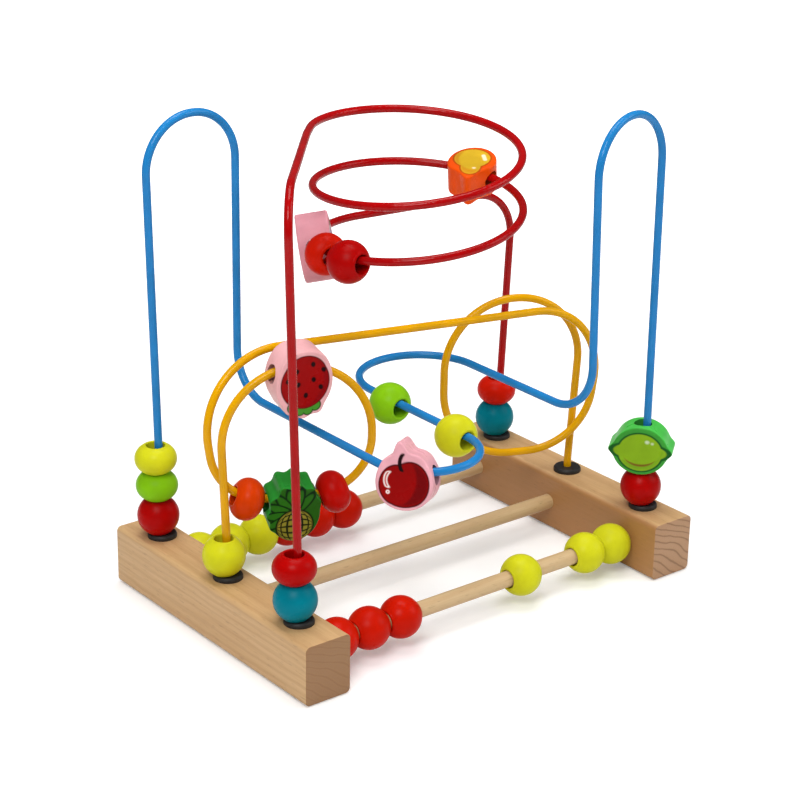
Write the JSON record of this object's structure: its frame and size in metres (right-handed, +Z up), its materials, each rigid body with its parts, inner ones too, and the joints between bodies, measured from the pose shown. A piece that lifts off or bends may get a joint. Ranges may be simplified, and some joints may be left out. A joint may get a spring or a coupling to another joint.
{
  "type": "bead maze",
  "caption": "Tabletop bead maze: wooden side blocks joined by dowels hold bent coated wires that carry sliding round and fruit-shaped wooden beads.",
  "frame": {"origin": "midway between the two side blocks, on the surface they stand on", "axes": "+X along the dowels towards the right block, +Y along the blocks towards the back, +Z up"},
  "size_m": [0.2442, 0.1629, 0.242],
  "materials": {
    "wood_block": "planed, clear lacquer",
    "wood_dowel": "turned, clear lacquer",
    "coat_blue": "gloss coating",
    "coat_yellow": "gloss coating",
    "coat_red": "gloss coating",
    "rubber_ring": "matt",
    "paint_red": "gloss paint",
    "paint_vermilion": "gloss paint",
    "paint_brick": "gloss paint",
    "paint_yellow": "gloss paint",
    "paint_green": "gloss paint",
    "paint_teal": "gloss paint",
    "fruit_lime": "gloss paint, printed faces",
    "fruit_apple": "gloss paint, printed faces",
    "fruit_strawberry": "gloss paint, printed faces",
    "fruit_pineapple": "gloss paint, printed faces",
    "fruit_pear": "gloss paint, printed faces",
    "fruit_plum": "gloss paint, printed faces"
  },
  "bodies": {
    "frame": {"block_left": "wood_block", "block_right": "wood_block", "dowel_front": "wood_dowel", "dowel_middle": "wood_dowel", "dowel_rear": "wood_dowel", "wire_blue": "coat_blue", "wire_yellow": "coat_yellow", "wire_red": "coat_red", "grommet_left_back": "rubber_ring", "grommet_left_middle": "rubber_ring", "grommet_left_front": "rubber_ring", "grommet_right_back": "rubber_ring", "grommet_right_middle": "rubber_ring", "grommet_right_front": "rubber_ring"},
    "left_back_red_ball": {"left_back_red_ball": "paint_red"},
    "left_back_green_disc": {"left_back_green_disc": "paint_green"},
    "left_back_yellow_disc": {"left_back_yellow_disc": "paint_yellow"},
    "left_middle_yellow_ball": {"left_middle_yellow_ball": "paint_yellow"},
    "left_front_teal_ball": {"left_front_teal_ball": "paint_teal"},
    "left_front_red_disc": {"left_front_red_disc": "paint_red"},
    "right_back_teal_ball": {"right_back_teal_ball": "paint_teal"},
    "right_back_orange_disc": {"right_back_orange_disc": "paint_vermilion"},
    "right_front_red_ball": {"right_front_red_ball": "paint_red"},
    "right_front_lime": {"right_front_lime": "fruit_lime"},
    "run_apple": {"run_apple": "fruit_apple"},
    "run_yellow_ball": {"run_yellow_ball": "paint_yellow"},
    "run_green_ball": {"run_green_ball": "paint_green"},
    "loop_strawberry": {"loop_strawberry": "fruit_strawberry"},
    "loop_red_disc": {"loop_red_disc": "paint_brick"},
    "loop_pineapple": {"loop_pineapple": "fruit_pineapple"},
    "loop_orange_disc": {"loop_orange_disc": "paint_vermilion"},
    "coil_pear": {"coil_pear": "fruit_pear"},
    "coil_red_ball": {"coil_red_ball": "paint_red"},
    "coil_orange_disc": {"coil_orange_disc": "paint_vermilion"},
    "coil_plum": {"coil_plum": "fruit_plum"},
    "front_red_1": {"front_red_1": "paint_vermilion"},
    "front_red_2": {"front_red_2": "paint_vermilion"},
    "front_red_3": {"front_red_3": "paint_vermilion"},
    "front_yellow_1": {"front_yellow_1": "paint_yellow"},
    "front_yellow_2": {"front_yellow_2": "paint_yellow"},
    "front_yellow_3": {"front_yellow_3": "paint_yellow"},
    "rear_yellow_1": {"rear_yellow_1": "paint_yellow"},
    "rear_yellow_2": {"rear_yellow_2": "paint_yellow"},
    "rear_yellow_3": {"rear_yellow_3": "paint_yellow"},
    "rear_red_1": {"rear_red_1": "paint_vermilion"},
    "rear_red_2": {"rear_red_2": "paint_vermilion"},
    "rear_red_3": {"rear_red_3": "paint_vermilion"}
  },
  "joints": [
    {"name": "left_back_red_ball_slide", "type": "slide", "parent": "frame", "child": "left_back_red_ball", "axis": [-0.0197, 0.0049, 0.9998], "range_m": [0, 0.04]},
    {"name": "left_back_green_disc_slide", "type": "slide", "parent": "left_back_red_ball", "child": "left_back_green_disc", "axis": [-0.0197, 0.0049, 0.9998], "range_m": [0, 0.04]},
    {"name": "left_back_yellow_disc_slide", "type": "slide", "parent": "left_back_green_disc", "child": "left_back_yellow_disc", "axis": [-0.0197, 0.0049, 0.9998], "range_m": [0, 0.045]},
    {"name": "left_middle_yellow_ball_slide", "type": "slide", "parent": "frame", "child": "left_middle_yellow_ball", "axis": [-0.0053, 0.0626, 0.998], "range_m": [0, 0.009]},
    {"name": "left_front_teal_ball_slide", "type": "slide", "parent": "frame", "child": "left_front_teal_ball", "axis": [-0.0205, 0.0153, 0.9997], "range_m": [0, 0.065]},
    {"name": "left_front_red_disc_slide", "type": "slide", "parent": "left_front_teal_ball", "child": "left_front_red_disc", "axis": [-0.0205, 0.0153, 0.9997], "range_m": [0, 0.07]},
    {"name": "right_back_teal_ball_slide", "type": "slide", "parent": "frame", "child": "right_back_teal_ball", "axis": [0.0225, -0.0225, 0.9995], "range_m": [0, 0.035]},
    {"name": "right_back_orange_disc_slide", "type": "slide", "parent": "right_back_teal_ball", "child": "right_back_orange_disc", "axis": [0.0225, -0.0225, 0.9995], "range_m": [0, 0.035]},
    {"name": "right_front_red_ball_slide", "type": "slide", "parent": "frame", "child": "right_front_red_ball", "axis": [-0.0025, 0.0049, 1], "range_m": [0, 0.06]},
    {"name": "right_front_lime_slide", "type": "slide", "parent": "right_front_red_ball", "child": "right_front_lime", "axis": [-0.0025, 0.0049, 1], "range_m": [0, 0.06]},
    {"name": "run_apple_turn", "type": "hinge", "parent": "frame", "child": "run_apple", "pos_m": [-0.03355, -0.05205, 0.095], "axis": [0, 0, 1], "range_deg": [-33, 98]},
    {"name": "run_yellow_ball_slide", "type": "slide", "parent": "frame", "child": "run_yellow_ball", "axis": [0, 1, 0], "range_m": [0, 0.0165]},
    {"name": "run_green_ball_slide", "type": "slide", "parent": "frame", "child": "run_green_ball", "axis": [0, 1, 0], "range_m": [-0.0165, 0.005]},
    {"name": "loop_strawberry_turn", "type": "hinge", "parent": "frame", "child": "loop_strawberry", "pos_m": [-0.0737, -0.0082, 0.09483], "axis": [0.3453, 0.9385, 0], "range_deg": [-20, 40]},
    {"name": "loop_orange_disc_turn", "type": "hinge", "parent": "frame", "child": "loop_orange_disc", "pos_m": [-0.08547, 0.0012, 0.09241], "axis": [-0.3727, -0.9245, 0.0793], "range_deg": [0, 7]},
    {"name": "loop_pineapple_slide", "type": "slide", "parent": "loop_orange_disc", "child": "loop_pineapple", "axis": [0.9275, -0.3739, 0], "range_m": [0, 0.0008]},
    {"name": "loop_red_disc_turn", "type": "hinge", "parent": "loop_pineapple", "child": "loop_red_disc", "pos_m": [-0.06366, -0.0099, 0.0925], "axis": [-0.3739, -0.9275, 0], "range_deg": [0, 45]},
    {"name": "coil_pear_turn", "type": "hinge", "parent": "frame", "child": "coil_pear", "pos_m": [0.0046, 0.00188, 0.19586], "axis": [-0.029, -0.1146, 0.993], "range_deg": [-40, 40]},
    {"name": "coil_orange_disc_turn", "type": "hinge", "parent": "frame", "child": "coil_orange_disc", "pos_m": [0.00462, 0.00262, 0.17998], "axis": [-0.044, 0.0599, 0.9972], "range_deg": [-10, 10]},
    {"name": "coil_red_ball_turn", "type": "hinge", "parent": "coil_orange_disc", "child": "coil_red_ball", "pos_m": [0.00611, 0.00239, 0.18314], "axis": [-0.1045, 0.0516, 0.9932], "range_deg": [0, 40]},
    {"name": "coil_plum_turn", "type": "hinge", "parent": "coil_orange_disc", "child": "coil_plum", "pos_m": [0.00694, 0.00195, 0.17731], "axis": [0.0041, 0.0335, 0.9994], "range_deg": [-20, 0]},
    {"name": "front_red_1_slide", "type": "slide", "parent": "frame", "child": "front_red_1", "axis": [1, 0, 0], "range_m": [0, 0.01]},
    {"name": "front_red_2_slide", "type": "slide", "parent": "front_red_1", "child": "front_red_2", "axis": [1, 0, 0], "range_m": [0, 0.01]},
    {"name": "front_red_3_slide", "type": "slide", "parent": "front_red_2", "child": "front_red_3", "axis": [1, 0, 0], "range_m": [0, 0.014]},
    {"name": "front_yellow_1_slide", "type": "slide", "parent": "frame", "child": "front_yellow_1", "axis": [1, 0, 0], "range_m": [-0.023, 0.01]},
    {"name": "front_yellow_3_slide", "type": "slide", "parent": "frame", "child": "front_yellow_3", "axis": [1, 0, 0], "range_m": [-0.007, 0]},
    {"name": "front_yellow_2_slide", "type": "slide", "parent": "front_yellow_3", "child": "front_yellow_2", "axis": [1, 0, 0], "range_m": [-0.007, 0]},
    {"name": "rear_yellow_1_slide", "type": "slide", "parent": "frame", "child": "rear_yellow_1", "axis": [1, 0, 0], "range_m": [0, 0.014]},
    {"name": "rear_yellow_2_slide", "type": "slide", "parent": "rear_yellow_1", "child": "rear_yellow_2", "axis": [1, 0, 0], "range_m": [0, 0.014]},
    {"name": "rear_yellow_3_slide", "type": "slide", "parent": "rear_yellow_2", "child": "rear_yellow_3", "axis": [1, 0, 0], "range_m": [0, 0.014]},
    {"name": "rear_red_1_slide", "type": "slide", "parent": "rear_yellow_3", "child": "rear_red_1", "axis": [1, 0, 0], "range_m": [0, 0.014]},
    {"name": "rear_red_2_slide", "type": "slide", "parent": "rear_red_1", "child": "rear_red_2", "axis": [1, 0, 0], "range_m": [0, 0.014]},
    {"name": "rear_red_3_slide", "type": "slide", "parent": "rear_red_2", "child": "rear_red_3", "axis": [1, 0, 0], "range_m": [0, 0.014]}
  ]
}
